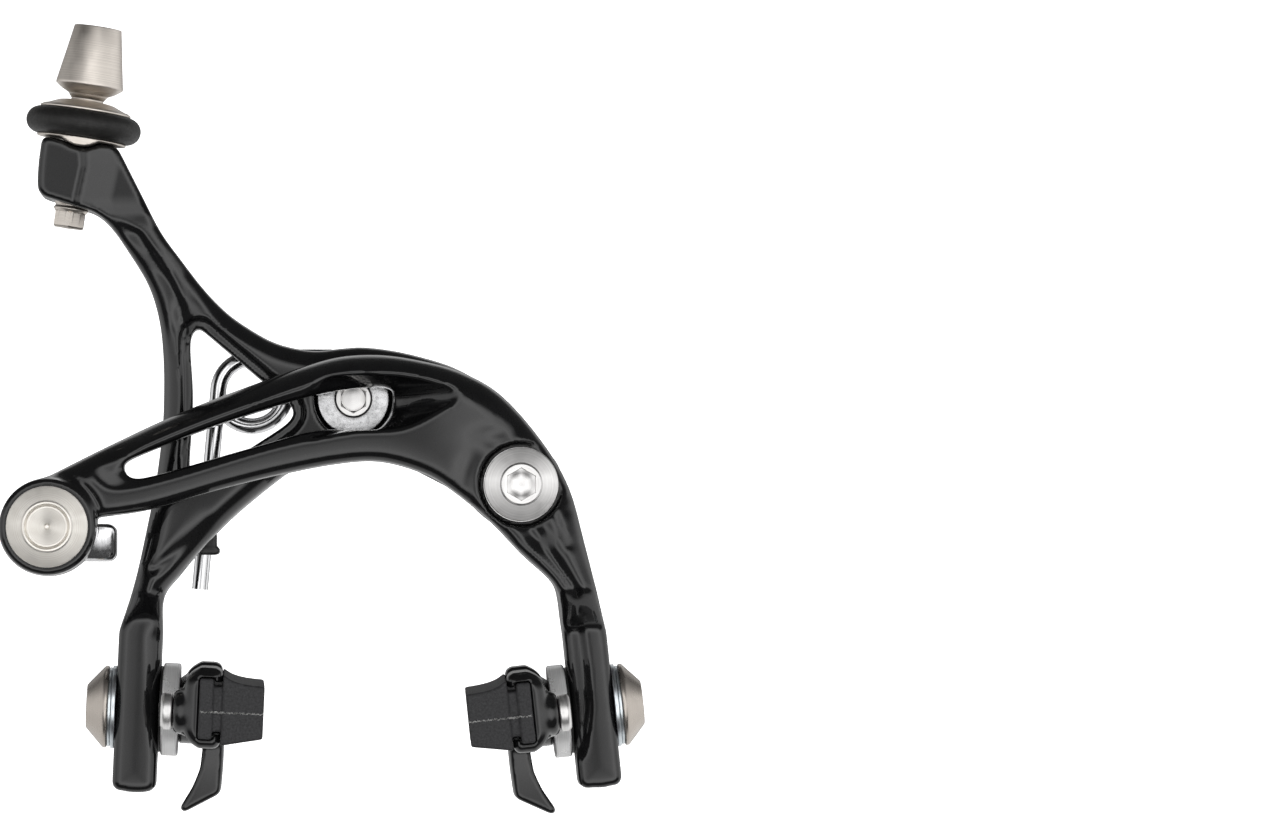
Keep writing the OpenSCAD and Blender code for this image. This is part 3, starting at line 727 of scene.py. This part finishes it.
def centre_bolt():
    lathe("mounting_bolt", "mount", HUB, STEEL,
          [(0, -18), (2.2, -18), (2.7, -17.4), *thread(3.0, -17.2, -1.4), (3.0, -1.0), (3.0, 0), (SHAFT_R, 0),
           (SHAFT_R, 14.4), (2.05, 14.5), (2.05, 16.1), (0, 16.1)], radius=0.1)
    washer("rear_spacer", "mount", HUB, ALUMINIUM, 3.52, 9, 0, BRACKET_BACK, 0.4)
    washer("hub_thrust_washer", "mount", HUB, ZINC, BORE_R, 7.5, 9.05, 9.45)
    washer("centre_washer", "mount", HUB, CAST, 2.45, 6, 14.45, 15.85, 0.3)
    lathe("centre_nut", "mount", HUB, STEEL,
          [(3.2, 15.9), (3.2, 17.2), (2.85, 17.7), (4.3, 17.7, "hex"), (4.1, 17.5, "hex"),
           (4.1, 15.9, "hex")], closed=True)
    washer("hub_bush", "y_arm", HUB, BRONZE, BORE_R, 4.58, LONG_BACK, HUB_RECESS)


def side_pivot():
    lathe("side_pivot_bolt", "mount", SIDE_FRAME, STEEL,
          [(0, BRACKET_BACK), (SHAFT_R, BRACKET_BACK), (SHAFT_R, 25), (6.1, 25), (6.1, 27.35), (3.5, 28.05),
           (3.35, 28.3), (3.25, 28.35), (2.9, 28.35), (4.8, 28.3, "hex"), (4.65, 28.15, "hex"),
           (4.65, 26.9, "hex"), (1.9, 26.75), (0, 25.9)], radius=0.12)
    washer("side_pivot_washer", "mount", SIDE_FRAME, STEEL, BORE_R, 6.25, 24.45, 24.95)
    washer("side_thrust_washer", "mount", SIDE_FRAME, ZINC, BORE_R, 6, 17.95, 18.45)
    washer("side_bush", "c_arm", SIDE_FRAME, BRONZE, BORE_R, 4.58, CURVED_BACK, SIDE_RECESS)


def pivot_bracket():
    grid = Grid((-11.5, -18.6, -22.5), (35.8, -3.4, 9.4), SMALL_STEP)
    depth = -grid.y
    hub, side = np.hypot(grid.x, grid.z), np.hypot(grid.x - SIDE[0], grid.z - SIDE[2])
    line, _ = stroke(grid, (0, 0), (SIDE[0], SIDE[2]))
    plan = either(np.minimum(hub - 8, side - 7), line - 5.6, 4)
    solid = both(plan, np.maximum(depth - BRACKET_FRONT, BRACKET_BACK - depth), 0.5)
    solid = either(solid, both(side - 6, np.maximum(depth - 17.9, 5 - depth), 0.4), 0.6)
    ear = both(both(abs(grid.x + 6.7) - 3.7, abs(grid.z - 6.6) - 2, 0.6), abs(depth - 6.2) - 2.2, 0.5)
    solid = either(solid, ear, 0.6)
    eye = np.maximum(np.hypot(depth - 4.6, grid.z - 7.1) - 1.45, grid.x + 6)
    solid = without(without(solid, eye, 0.15), np.minimum(hub, side) - BORE_R, 0.2)
    carved("pivot_bracket", solid, grid, SATIN, "mount", "pivot_bracket")


def link():
    x, _, z = middle("link_roller")
    place = forward_frame(x, z)
    lathe("link_pin", "c_arm", place, STEEL, [(0, 10), (1.25, 10), (1.25, 24), (0, 24)])
    washer("link_roller", "c_arm", place, STEEL, 1.3, 2.5, 10.2, 18.4, 0.3)


def centring_screw():
    c, s = math.cos(SET_SCREW_LEAN), math.sin(SET_SCREW_LEAN)
    place = frame_at(SET_SCREW_FOOT, (c, 0, -s), (0, 1, 0), (s, 0, c))
    lathe("centring_screw", "y_arm", place, STEEL,
          [(0, 0), (1.1, 0), *thread(1.5, 0.4, 3.2, 0.5, 0.2), (1.2, 3.75), (1.75, 3.8, "hex"),
           (1.7, 2.6, "hex"), (0, 2.5)], radius=0.05, sides=48)


# ---------------------------------------------------------------- return spring

WIRE_R, COIL_R = 1.35, 5.7
COIL_X, COIL_Z = -17, 1.4
COIL_TURNS = 1.25
COIL_FRONT, COIL_BACK = 7.4, 4.6


def tube(name, path, radius, material, body, node, sides=20):
    """Round wire with domed ends along points in mm."""
    path = np.array(path, float)
    along = np.gradient(path, axis=0)
    along /= np.linalg.norm(along, axis=1)[:, None]
    across = np.cross(along, (0, 1, 0))
    across /= np.linalg.norm(across, axis=1)[:, None]
    other = np.cross(across, along)
    stations = [(path[0], -1, k) for k in (0, 1, 2)] + [(p, i, 3) for i, p in enumerate(path)]
    stations += [(path[-1], len(path), k) for k in (2, 1, 0)]
    points, faces = [], []
    for p, i, k in stations:
        j = min(max(i, 0), len(path) - 1)
        swell = math.sin(k / 3 * math.pi / 2)
        push = 0.5 * radius * (1 - swell) * (1 if i < 0 else -1 if i == len(path) else 0)
        for t in range(sides):
            a = 2 * math.pi * t / sides
            r = radius * max(swell, 0.02)
            points.append(p + along[j] * push * 0.6 + r * (math.cos(a) * across[j] + math.sin(a) * other[j]))
    for s in range(len(stations) - 1):
        for t in range(sides):
            u = (t + 1) % sides
            faces.append([s * sides + t, s * sides + u, (s + 1) * sides + u, (s + 1) * sides + t])
    last = (len(stations) - 1) * sides
    faces += [list(range(sides))[::-1], [last + t for t in range(sides)]]
    return add_piece(name, points, faces, material, body, node, crease=60)


def return_spring():
    leg = [np.array((x, -COIL_FRONT, z)) for x, z in ((-25.7, -31.8), (-25, -24), (-23.2, -4))]
    path = [leg[0] + (leg[1] - leg[0]) * t for t in np.linspace(0, 1, 5)]
    path += [leg[1] + (leg[2] - leg[1]) * t for t in np.linspace(0, 1, 9)[1:]]
    for share in np.linspace(0, 1, 61):
        a = math.pi - 2 * math.pi * COIL_TURNS * share
        y = -COIL_FRONT + (COIL_FRONT - COIL_BACK) * share
        path.append((COIL_X + COIL_R * math.cos(a), y, COIL_Z + COIL_R * math.sin(a)))
    path += [(x, -COIL_BACK, COIL_Z + COIL_R) for x in np.linspace(COIL_X, -7.5, 9)[1:]]
    tube("return_spring", path, WIRE_R, CHROME, "mount", "return_spring")


def spring_seat():
    grid = Grid((-28, -10, -27), (-21.6, -4.4, -22), 0.2)
    depth = -grid.y
    wire = np.hypot(grid.x + 25.05 - 0.09 * (grid.z + 24.6), depth - COIL_FRONT)
    block = both(both(abs(grid.x + 24.3) - 1.45, abs(grid.z + 24.1) - 1.8, 0.4), abs(depth - 7.2) - 2.2, 0.5)
    hook = both(both(abs(grid.x + 24.5) - 2.15, abs(grid.z + 25.3) - 0.6, 0.5), abs(depth - 7.2) - 2.2, 0.4)
    solid = without(either(block, hook, 0.4), wire - 1.42, 0.2)
    carved("spring_seat", solid, grid, PLASTIC, "y_arm", "spring_seat")


# ---------------------------------------------------------------- cable adjuster

SEAT_R, SEAT_TOP, SEAT_FLAT = 7.5, 15.15, 14.7
RIDGE_R, RIDGE_S = 5.0, 18.6
GRIP_R, GRIP_THICK, GRIP_HOLE_R = 7.4, 2.25, 5.33


def adjuster():
    lathe("adjuster_bolt", "adjuster_bolt", BARREL, TITANIUM,
          [(0.9, 0), (4.6, 0, "hex"), (4.95, 0.3, "hex"), (4.95, 2.6, "hex"), *thread(2.95, 2.7, 21.8),
           (3.15, 22.3), (3.3, 22.6), (4.4, 23.1), (5.65, 24.0), (5.65, 24.3), (4.8, 29.1), (3.97, 34),
           (2.6, 34), (2.6, 26), (0.9, 26)], closed=True, radius=0.18)
    lathe("adjuster_wheel", "adjuster_wheel", BARREL, TITANIUM,
          [(3.0, 15.25), (5.3, 15.25), (5.3, 19.7), (7.6, 19.7), (7.6, 20.0), (7.0, 20.35), (6.9, 20.28),
           (4.6, 21.25), (3.7, 21.4), (3.3, 21.4), (3.0, 20.6)], closed=True, radius=0.08)
    ring = [(max(GRIP_R + GRIP_THICK * math.cos(a), GRIP_HOLE_R), GRIP_S + GRIP_THICK * math.sin(a))
            for a in np.linspace(0, 2 * math.pi, 37)[:-1]]
    lathe("adjuster_grip_ring", "adjuster_wheel", BARREL, GRIP, ring, closed=True, radius=0.01, crease=60)


def adjuster_seat():
    grid = Grid((-8, -8, 13), (8, 8, 15.6), 0.2)
    ridge = np.hypot(grid.x, grid.z - RIDGE_S) - RIDGE_R
    plate = np.minimum(ridge, SEAT_FLAT - grid.z)
    solid = both(np.maximum(plate, grid.z - SEAT_TOP), np.hypot(grid.x, grid.y) - SEAT_R, 0.15)
    solid = without(solid, np.hypot(grid.x, grid.y) - 3.0, 0.1)
    carved("adjuster_seat", solid, grid, TITANIUM, "y_arm", "adjuster_seat", BARREL)


# ---------------------------------------------------------------- cable anchor

def anchor():
    # The anchor bolt takes the paler titanium copy, whose colour is painted light
    lathe("anchor_bolt", "c_arm", ANCHOR_FRAME, PAINTED_LIGHT_TITANIUM,
          [(0, 8.6), (2.6, 8.6), *thread(3.0, 8.9, 11.6), (3.5, 12), (3.5, 28.55), (6.75, 28.6), (6.75, 29.6),
           (4.3, 30.3), (4.1, 30.45), (3.75, 30.45), (3.6, 30.2), (3.35, 29.9), (3.2, 29.95), (0.5, 29.1),
           (0.35, 28.95), (0, 28.9)], radius=0.1)
    washer("anchor_washer", "c_arm", ANCHOR_FRAME, STEEL, 3.52, 6.6, 17.4, 18.4)
    lathe("anchor_nut", "c_arm", ANCHOR_FRAME, STEEL,
          [(3.02, 9.0), (8.2, 9.0, "hex"), (8.6, 9.3, "hex"), (8.6, 11.65, "hex"), (8.2, 11.95, "hex"),
           (3.02, 11.95)], closed=True)


def quick_release():
    grid = Grid((-57.4, -18, -28.6), (-39, -7.4, -14.6), SMALL_STEP)
    depth = -grid.y
    hub = np.hypot(grid.x - ANCHOR[0], grid.z - ANCHOR[2])
    finger = both(abs(grid.x - ANCHOR[0] - 6.6) - 4.5, abs(grid.z - ANCHOR[2] + 2.5) - 3.15, 1.5)
    bow = 0.05 * (grid.x - ANCHOR[0] - 8.4) ** 2 + 0.035 * np.clip(-20 - grid.z, 0, 9) ** 2
    solid = both(hub - 6.2, np.maximum(depth - 17.25, 12.2 - depth), 0.6)
    solid = either(solid, both(finger, np.maximum(depth + bow - 17.25, 8 - depth), 0.8), 0.9)
    solid = without(solid, hub - BORE_R, 0.2)
    solid = without(solid, both(hub - 5.3, depth - 12.2, 0.1), 0.1)
    carved("quick_release_lever", solid, grid, CHROME, "quick_release", "quick_release_lever")


# ---------------------------------------------------------------- pads

RIM_ARC = 311.0
PAD_HALF = 25.0
SCREW_V = 20.0
TOE_IN = 0.016
LIFT = 0.6
STUD_SEAT_R, SCREW_HOLE_R = 3.02, 1.55
FIN = np.array([(11.2, -5.0), (14.6, -5.0), (14.6, -9), (14.4, -13.6), (8.5, -17.0), (7.7, -16.4),
                (9.8, -12.6), (10.9, -9.5)])


def stud_frame(side):
    """Frame on the stud axis whose +Z points along the stud to the rim."""
    tilt = JOINTS[side + "_pad_tilt"]
    u = Vector(tilt["axis"])
    w = Vector(JOINTS[side + "_pad_height"]["axis"])
    return frame_at(millimetres(tilt["pos_m"]), w, u.cross(w), u)


def pad_grid(u_low, u_high, w_low, w_high, step=SMALL_STEP):
    return Grid((u_low, -PAD_HALF - 1, w_low), (u_high, PAD_HALF + 2.2, w_high), step)


def pad_place(grid):
    """Pad coordinates: toed in, with the front end closest to the rim, and bent to the rim's curve."""
    u = grid.x + TOE_IN * (grid.y + PAD_HALF)
    return u, grid.y, grid.z - LIFT + (grid.y ** 2 - PAD_HALF ** 2) / (2 * RIM_ARC)


def pad_holder(side):
    """Holder with its groove, end cap, two bosses and wheel guide."""
    grid = pad_grid(5.6, 15.8, -17.8, 8.8, 0.36)
    u, v, w = pad_place(grid)
    solid = both(abs(u - 11.15) - 3.15, abs(w) - 6.7, 1.4 + 2.4 * ramp(-u, -12, -10))
    solid = both(solid, abs(v) - PAD_HALF + 0.7, 2.0)
    groove = both(abs(u - 11.8) - 1.3, abs(w) - 5.05, 0.4)
    mouth = both(abs(u - 14.5) - 2.2, abs(w) - 4.3, 0.3)
    solid = without(solid, either(groove, mouth, 0.2), 0.3)
    cap = both(both(abs(u - 11.15) - 3.15, abs(w) - 6.1, 1.8), abs(v - PAD_HALF - 0.2) - 1.3, 0.6)
    solid = either(solid, cap, 0.5)
    waist = both(abs(abs(v) - 13) - 5.5, 8.6 - u, 1.0)
    solid = without(solid, both(waist, abs(w) - 9, 0.1) + 0.4, 0.8)
    hub = np.hypot(v, grid.z)
    solid = either(solid, both(hub - 5.6, abs(grid.x - 8.4) - 1.4, 0.4), 0.8)
    screw = np.hypot(v + SCREW_V, grid.z)
    solid = either(solid, both(screw - 3.7, abs(grid.x - 7.9) - 1.7, 1.3), 0.8)
    fin = distance_to(evened(FIN, step=0.5, blur=0.5), grid)
    fall = grid.z + 6
    thin = abs(v - 1 + 0.08 * fall) - 7.0 - 0.08 * fall - 0.006 * fall ** 2
    solid = either(solid, both(fin, thin, 0.7), 1.2)
    solid = without(solid, np.maximum(hub - STUD_SEAT_R, u - 9.4), 0.1)
    solid = without(solid, np.maximum(screw - SCREW_HOLE_R, u - 10.5), 0.1)
    carved(side + "_pad_holder", solid, grid, PAINT, side + "_shoe", side + "_pad_holder", leg_frame(side))


def brake_pad(side):
    """Rubber pad on its T-shaped root."""
    grid = pad_grid(9.0, 21.6, -6.8, 8.6)
    u, v, w = pad_place(grid)
    out = np.clip(u - 14.5, 0, 7)
    top = 4.0 + 1.65 * np.exp(-out / 2.0)
    bottom = 4.6 + 1.3 * (1 - out / 6.7)
    front = both(np.maximum(w - top, -w - bottom), np.maximum(u - 21.2, 14.35 - u), 0.25)
    root = both(abs(u - 11.7) - 1.15, abs(w) - 4.95, 0.3)
    neck = both(abs(u - 13.6) - 1.6, abs(w) - 3.7, 0.2)
    proud = both(either(root, front, 0.01), abs(v) - PAD_HALF, 0.3)
    solid = either(proud, both(neck, abs(v) - PAD_HALF + 0.5, 0.3), 0.2)
    solid = without(solid, np.maximum(np.hypot(v + SCREW_V, grid.z) - 1.7, u - 11), 0.1)
    carved(side + "_brake_pad", solid, grid, RUBBER, side + "_shoe", side + "_brake_pad", leg_frame(side))


def seam_flash(side):
    """Torn line of rubber that the mould left across the pad's front end, coloured light grey as a painted
    highlight along it.
    """
    chance = np.random.default_rng(7)
    stations = np.linspace(10.8, 21.1, 60)
    points = []
    for u in stations:
        w = 0.15 + chance.normal(0, 0.07)
        wide, proud = 0.13 + 0.1 * chance.random(), 0.12 + 0.14 * chance.random()
        points += [(u, -PAD_HALF + 0.1, w - wide), (u, -PAD_HALF - proud, w + chance.normal(0, 0.05)),
                   (u, -PAD_HALF + 0.1, w + wide)]
    faces = []
    for k in range(len(stations) - 1):
        for a, b in ((0, 1), (1, 2), (2, 0)):
            faces.append([3 * k + a, 3 * k + b, 3 * k + 3 + b, 3 * k + 3 + a])
    last = 3 * (len(stations) - 1)
    faces += [[0, 2, 1], [last, last + 1, last + 2]]
    add_piece(side + "_seam_flash", points, faces, PAINTED_HIGHLIGHT_FLASH, side + "_shoe", place=leg_frame(side))


def pad_hardware(side):
    stud, clamp, shoe = stud_frame(side), side + "_clamp", side + "_shoe"
    hole = STUD_HOLE_R
    washer(side + "_pad_seat", clamp, stud, PLASTIC, hole, 7.2, 3.65, 4.0, 0.1)
    lathe(side + "_inner_washer", clamp, stud, ALUMINIUM,
          [(hole, 4.05), (7.4, 4.05), (7.75, 4.3), (7.75, 6.75), (7.55, 6.95), (hole, 6.95)], closed=True)
    washer(side + "_outer_washer", clamp, stud, ZINC, hole, 6.9, -4.35, -3.65, 0.2)
    washer(side + "_lock_washer", clamp, stud, ZINC, hole, 6.6, -4.9, -4.4, 0.2)
    lathe(side + "_pad_nut", clamp, stud, DARK_TITANIUM,
          [(hole, -8.55), (3.5, -8.55), (3.75, -8.4), (6.6, -5.8), (6.85, -5.5), (6.85, -5.1), (6.7, -4.95),
           (hole, -4.95)], closed=True, radius=0.1)
    lathe(side + "_pad_stud", shoe, stud, STEEL,
          [(0, -6), (3, -6, "hex"), (3, -8.2, "hex"), (2.7, -8.2), *thread(3.0, -8.0, 3), (3.0, 3.2),
           (3.0, 9.3), (0, 9.3)], radius=0.08)
    screw = leg_frame(side) @ Matrix.Translation((0, -SCREW_V, 0))
    place = frame_at(screw.translation / MM, *[stud.to_3x3().col[k].normalized() for k in range(3)])
    lathe(side + "_pad_screw", shoe, place, STEEL,
          [(0, 5.4), (2.5, 5.3, "hex"), (2.6, 4.2, "hex"), (1.7, 4.2), (2.6, 4.25), (3.05, 4.7), (3.05, 5.9),
           (2.8, 6.15), (1.5, 6.15), (1.5, 10.4), (0, 10.4)], radius=0.2)


# ---------------------------------------------------------------- light, stage and camera

# Brightness by the angle in degrees from the direction of the camera, going sideways, upwards and downwards
SIDEWAYS = [(0, 0.26), (4, 0.3), (10, 0.5), (20, 0.75), (32, 0.6), (60, 0.42), (110, 0.42), (140, 0.15),
            (180, 0.1)]
AHEAD = [(0, 0.22), (4, 0.25), (10, 0.5), (16, 0.8), (24, 0.8), (32, 0.4), (40, 0.03)]
UPWARDS = AHEAD + [(130, 0.03), (150, 0.4), (180, 0.4)]
DOWNWARDS = AHEAD + [(76, 0.03), (92, 0.35), (180, 0.4)]
# Where the sideways band lies, as the Z part of a unit direction, and its softness
LEVEL, HALF_LEVEL, LEVEL_EDGE = 0.1, 0.15, 0.25
# The light is a little stronger from the right
STRENGTH, STRENGTH_RIGHT, RIGHT_REACH = 2.2, 2.7, 0.4

# Camera place in mm and its direction: far off, a little below the caliper's middle and looking slightly up
EYE, AIM = (-4.67, -1300, -35), (0.041, 1, 0.0262)
LENS, SENSOR = 215.9, 36

# Studio floor and wall, in metres
FLOOR_Z, WALL_TOP_Z, WALL_R, WALL_SIDES = -0.2, 4.0, 3.0, 64


def world():
    """Soft white studio: a bright ring round the camera, dark above and below it, dimmer all round."""
    w = bpy.data.worlds.new("studio")
    bpy.context.scene.world = w
    w.use_nodes = True
    nodes, links = w.node_tree.nodes, w.node_tree.links

    def maths(operation, value, constant=None):
        n = nodes.new("ShaderNodeMath")
        n.operation = operation
        links.new(value, n.inputs[0])
        if constant is not None:
            n.inputs[1].default_value = constant
        return n.outputs[0]

    def ranged(value, start, stop, low=0.0, high=1.0):
        n = nodes.new("ShaderNodeMapRange")
        for socket, number in zip(("From Min", "From Max", "To Min", "To Max"), (start, stop, low, high)):
            n.inputs[socket].default_value = number
        links.new(value, n.inputs["Value"])
        return n.outputs["Result"]

    def banded(share, stops):
        n = nodes.new("ShaderNodeValToRGB")
        elements = n.color_ramp.elements
        while len(elements) < len(stops):
            elements.new(0.5)
        for element, (degrees, value) in zip(elements, stops):
            element.position = degrees / 180
            element.color = (value, value, value, 1)
        links.new(share, n.inputs["Fac"])
        return n.outputs["Color"]

    def mixed(share, a, b):
        n = nodes.new("ShaderNodeMix")
        n.data_type = "RGBA"
        for socket, value in (("Factor", share), ("A", a), ("B", b)):
            links.new(value, n.inputs[socket])
        return n.outputs["Result"]

    place = nodes.new("ShaderNodeTexCoord")
    parts = nodes.new("ShaderNodeSeparateXYZ")
    links.new(place.outputs["Generated"], parts.inputs[0])
    angle = maths("DIVIDE", maths("ARCCOSINE", maths("MULTIPLY", parts.outputs["Y"], -1)), math.pi)
    height = maths("SUBTRACT", parts.outputs["Z"], LEVEL)
    upright = mixed(ranged(height, -0.1, 0.1), banded(angle, DOWNWARDS), banded(angle, UPWARDS))
    steep = ranged(maths("ABSOLUTE", height), HALF_LEVEL, HALF_LEVEL + LEVEL_EDGE)
    links.new(mixed(steep, banded(angle, SIDEWAYS), upright), nodes["Background"].inputs["Color"])
    strength = ranged(parts.outputs["X"], 0, RIGHT_REACH, STRENGTH, STRENGTH_RIGHT)
    links.new(strength, nodes["Background"].inputs["Strength"])


def stage():
    """White floor and round wall that only the camera sees."""
    white = bpy.data.materials.new("stage_white")
    white.use_nodes = True
    shader = white.node_tree.nodes["Principled BSDF"]
    shader.inputs["Base Color"].default_value = (1, 1, 1, 1)
    shader.inputs["Emission Color"].default_value = (1, 1, 1, 1)
    shader.inputs["Emission Strength"].default_value = 1.0
    sides = WALL_SIDES
    turns = [2 * math.pi * k / sides for k in range(sides)]
    low = [(WALL_R * math.cos(t), WALL_R * math.sin(t), FLOOR_Z) for t in turns]
    high = [(x, y, WALL_TOP_Z) for x, y, _ in low]
    walls = [(k, (k + 1) % sides, sides + (k + 1) % sides, sides + k) for k in range(sides)]
    for name, corners, faces in (("floor", low, [tuple(range(sides))]), ("backdrop", low + high, walls)):
        mesh = bpy.data.meshes.new(name)
        mesh.from_pydata(corners, [], faces)
        mesh.materials.append(white)
        sheet = bpy.data.objects.new(name, mesh)
        bpy.context.scene.collection.objects.link(sheet)
        sheet.visible_glossy = sheet.visible_diffuse = sheet.visible_shadow = False


def camera():
    """The photograph's view of the caliper."""
    data = bpy.data.cameras.new("camera")
    data.lens, data.sensor_width, data.clip_start = LENS, SENSOR, 0.01
    eye = bpy.data.objects.new("camera", data)
    bpy.context.scene.collection.objects.link(eye)
    eye.location = [v * MM for v in EYE]
    eye.rotation_euler = Vector(AIM).to_track_quat("-Z", "Y").to_euler()
    bpy.context.scene.camera = eye


centre_bolt()
side_pivot()
pivot_bracket()
link()
centring_screw()
return_spring()
spring_seat()
adjuster()
adjuster_seat()
anchor()
quick_release()
for each_side in ("left", "right"):
    pad_holder(each_side)
    brake_pad(each_side)
    seam_flash(each_side)
    pad_hardware(each_side)
world()
stage()
camera()
bpy.context.scene.view_settings.view_transform = "Standard"
